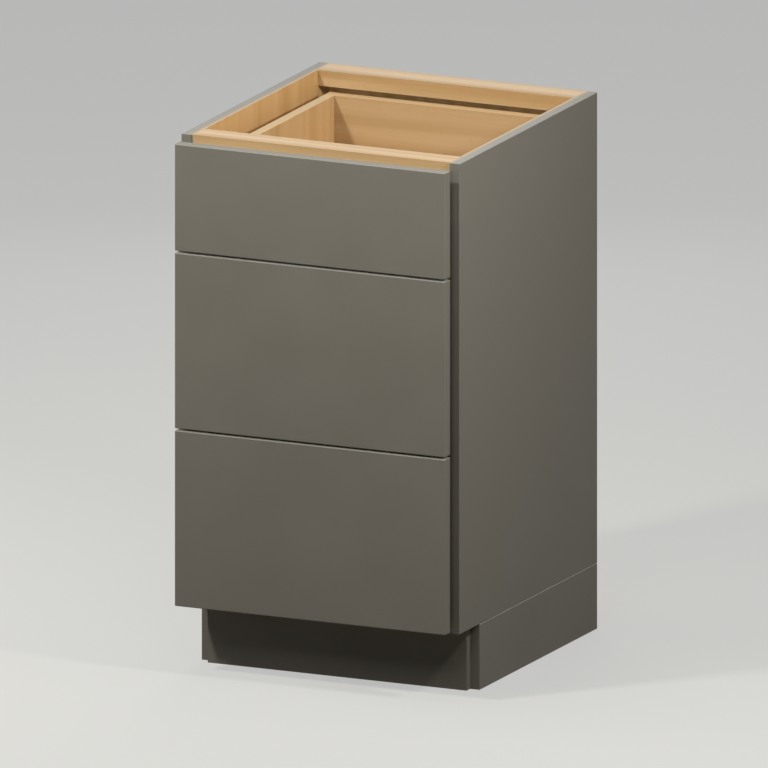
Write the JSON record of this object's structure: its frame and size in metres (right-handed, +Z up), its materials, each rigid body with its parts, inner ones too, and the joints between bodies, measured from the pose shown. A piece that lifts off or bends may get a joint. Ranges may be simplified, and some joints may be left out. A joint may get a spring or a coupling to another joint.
{
  "type": "vanity drawer base cabinet",
  "caption": "Painted vanity base cabinet with an open top, slab drawer fronts held off the case by a finger gap, dovetailed boxes on telescopic side slides, and a recessed toe base.",
  "frame": {"origin": "middle of the footprint on the floor", "axes": "+X to the right of someone who faces the drawers, the drawers open towards -Y, +Z up"},
  "size_m": [0.4572, 0.5334, 0.8255],
  "materials": {
    "gray_paint": "satin gray paint on smooth board",
    "maple_board": "clear-lacquered natural maple",
    "birch_plywood": "clear-lacquered birch plywood",
    "beech_dowel": "plain beech",
    "slide_steel": "zinc-plated rolled steel",
    "screw_steel": "zinc-plated steel"
  },
  "bodies": {
    "case": {"back_panel": "birch_plywood", "back_rail": "maple_board", "case_dowels": "beech_dowel", "deck_panel": "birch_plywood", "deck_screws": "screw_steel", "front_rail": "maple_board", "side_liner_left": "maple_board", "side_liner_right": "maple_board", "side_panel_left": "gray_paint", "side_panel_right": "gray_paint", "slide_1_case_left": "slide_steel", "slide_1_case_right": "slide_steel", "slide_2_case_left": "slide_steel", "slide_2_case_right": "slide_steel", "slide_3_case_left": "slide_steel", "slide_3_case_right": "slide_steel", "slide_case_screws": "screw_steel", "slide_post_front_left": "birch_plywood", "slide_post_front_right": "birch_plywood", "slide_post_rear_left": "birch_plywood", "slide_post_rear_right": "birch_plywood", "toe_back_rail": "birch_plywood", "toe_board": "gray_paint", "toe_front_rail": "birch_plywood", "toe_side_left": "gray_paint", "toe_side_right": "gray_paint"},
    "drawer_1": {"drawer_1_box_back": "maple_board", "drawer_1_box_bottom": "birch_plywood", "drawer_1_box_front": "maple_board", "drawer_1_box_left": "maple_board", "drawer_1_box_right": "maple_board", "drawer_1_front": "gray_paint", "drawer_1_screws": "screw_steel", "slide_1_drawer_left": "slide_steel", "slide_1_drawer_right": "slide_steel"},
    "slide_mid_1": {"slide_1_mid_left": "slide_steel", "slide_1_mid_right": "slide_steel"},
    "drawer_2": {"drawer_2_box_back": "maple_board", "drawer_2_box_bottom": "birch_plywood", "drawer_2_box_front": "maple_board", "drawer_2_box_left": "maple_board", "drawer_2_box_right": "maple_board", "drawer_2_front": "gray_paint", "drawer_2_screws": "screw_steel", "slide_2_drawer_left": "slide_steel", "slide_2_drawer_right": "slide_steel"},
    "slide_mid_2": {"slide_2_mid_left": "slide_steel", "slide_2_mid_right": "slide_steel"},
    "drawer_3": {"drawer_3_box_back": "maple_board", "drawer_3_box_bottom": "birch_plywood", "drawer_3_box_front": "maple_board", "drawer_3_box_left": "maple_board", "drawer_3_box_right": "maple_board", "drawer_3_front": "gray_paint", "drawer_3_screws": "screw_steel", "slide_3_drawer_left": "slide_steel", "slide_3_drawer_right": "slide_steel"},
    "slide_mid_3": {"slide_3_mid_left": "slide_steel", "slide_3_mid_right": "slide_steel"}
  },
  "joints": [
    {"name": "drawer_1_slide", "type": "slide", "parent": "case", "child": "drawer_1", "axis": [0, -1, 0], "range_m": [0, 0.4]},
    {"name": "drawer_2_slide", "type": "slide", "parent": "case", "child": "drawer_2", "axis": [0, -1, 0], "range_m": [0, 0.4]},
    {"name": "drawer_3_slide", "type": "slide", "parent": "case", "child": "drawer_3", "axis": [0, -1, 0], "range_m": [0, 0.4]},
    {"name": "slide_mid_1_travel", "type": "slide", "parent": "case", "child": "slide_mid_1", "axis": [0, -1, 0], "range_m": [0, 0.2]},
    {"name": "slide_mid_2_travel", "type": "slide", "parent": "case", "child": "slide_mid_2", "axis": [0, -1, 0], "range_m": [0, 0.2]},
    {"name": "slide_mid_3_travel", "type": "slide", "parent": "case", "child": "slide_mid_3", "axis": [0, -1, 0], "range_m": [0, 0.2]}
  ],
  "couplings": [
    {"joint": "slide_mid_1_travel", "follows": "drawer_1_slide", "ratio": 0.5},
    {"joint": "slide_mid_2_travel", "follows": "drawer_2_slide", "ratio": 0.5},
    {"joint": "slide_mid_3_travel", "follows": "drawer_3_slide", "ratio": 0.5}
  ]
}
